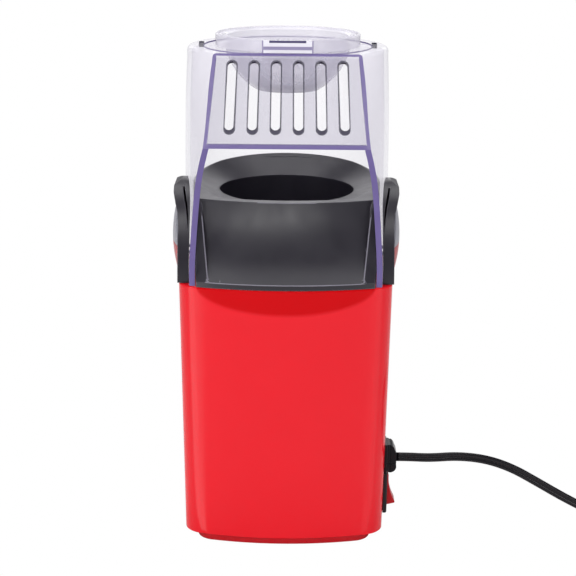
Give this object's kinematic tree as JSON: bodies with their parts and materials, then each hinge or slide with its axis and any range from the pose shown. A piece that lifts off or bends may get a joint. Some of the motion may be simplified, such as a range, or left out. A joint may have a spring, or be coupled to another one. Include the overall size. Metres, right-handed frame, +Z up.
{
  "type": "hot-air popcorn maker",
  "caption": "Upright hot-air popcorn maker: red housing, black chute with a slide, clear lift-off cover with slots, measuring cup in its roof, side rocker switch and corded plug.",
  "frame": {"origin": "middle of the footprint on the table, without the cord", "axes": "+Z up, -Y to the front where the popcorn comes out, +X to the user's right, where the switch and cord are"},
  "size_m": [0.3478, 0.1735, 0.29],
  "materials": {
    "red_gloss": "gloss, moulded",
    "black_satin": "satin, fine moulded grain",
    "clear_plastic": "clear, polished",
    "cup_plastic": "clear, polished",
    "badge_grey": "gloss",
    "badge_red": "gloss",
    "chamber_metal": "spun",
    "sheet_steel": "zinc plated",
    "screw_steel": "zinc plated",
    "shaft_steel": "ground",
    "bush_bronze": "sintered",
    "contact_brass": "stamped",
    "heater_alloy": "oxidised wire",
    "mica": "flaky sheet",
    "grey_nylon": "satin",
    "brown_phenolic": "satin",
    "dark_magnet": "ferrite",
    "board_green": "solder mask",
    "white_nylon": "satin",
    "foot_rubber": "matt",
    "switch_black": "satin",
    "rocker_red": "gloss",
    "cord_black": "PVC flex, satin"
  },
  "bodies": {
    "base_unit": {"housing": "red_gloss", "base_plate": "red_gloss", "rubber_feet": "foot_rubber", "base_screws": "screw_steel", "chute": "black_satin", "chute_screws": "screw_steel", "popping_chamber": "chamber_metal", "chamber_screws": "screw_steel", "hot_air_sleeve": "sheet_steel", "heater_frame": "mica", "heater_wire": "heater_alloy", "thermostat": "brown_phenolic", "thermal_fuse": "sheet_steel", "fan_housing": "grey_nylon", "fan_housing_screws": "screw_steel", "motor_bracket": "sheet_steel", "bracket_screws": "screw_steel", "motor_can": "sheet_steel", "motor_end_cap": "white_nylon", "motor_magnets": "dark_magnet", "motor_bushes": "bush_bronze", "motor_brushes": "dark_magnet", "rectifier_board": "board_green", "rectifier_diodes": "dark_magnet", "terminal_block": "white_nylon", "switch_body": "switch_black", "switch_terminals": "contact_brass", "rocker_pin": "shaft_steel", "cord_guard": "black_satin", "cord_clamp": "grey_nylon", "inner_leads": "cord_black", "power_cord": "cord_black", "cord_coil": "cord_black", "cord_tie": "cord_black", "plug_body": "cord_black", "plug_blades": "contact_brass"},
    "rotor": {"motor_shaft": "shaft_steel", "armature": "sheet_steel", "commutator": "contact_brass", "fan_impeller": "white_nylon", "fan_nut": "contact_brass"},
    "rocker": {"rocker": "rocker_red"},
    "cover": {"clear_cover": "clear_plastic", "right_grip": "black_satin", "left_grip": "black_satin", "right_badge": "badge_grey", "right_badge_inlay": "badge_red", "left_badge": "badge_grey", "left_badge_inlay": "badge_red", "grip_screws": "screw_steel"},
    "cup": {"measuring_cup": "cup_plastic"}
  },
  "joints": [
    {"name": "cover_lift", "type": "slide", "parent": "base_unit", "child": "cover", "axis": [0, 0, 1], "range_m": [0, 0.12]},
    {"name": "cup_lift", "type": "slide", "parent": "cover", "child": "cup", "axis": [0, 0, 1], "range_m": [0, 0.06]},
    {"name": "rocker_tip", "type": "hinge", "parent": "base_unit", "child": "rocker", "pos_m": [0.05595, -0.0377, 0.0247], "axis": [0, 1, 0], "range_deg": [0, 26]},
    {"name": "fan_spin", "type": "hinge", "parent": "base_unit", "child": "rotor", "pos_m": [0, 0.0093, 0.05], "axis": [0, 0, 1], "continuous": true}
  ]
}
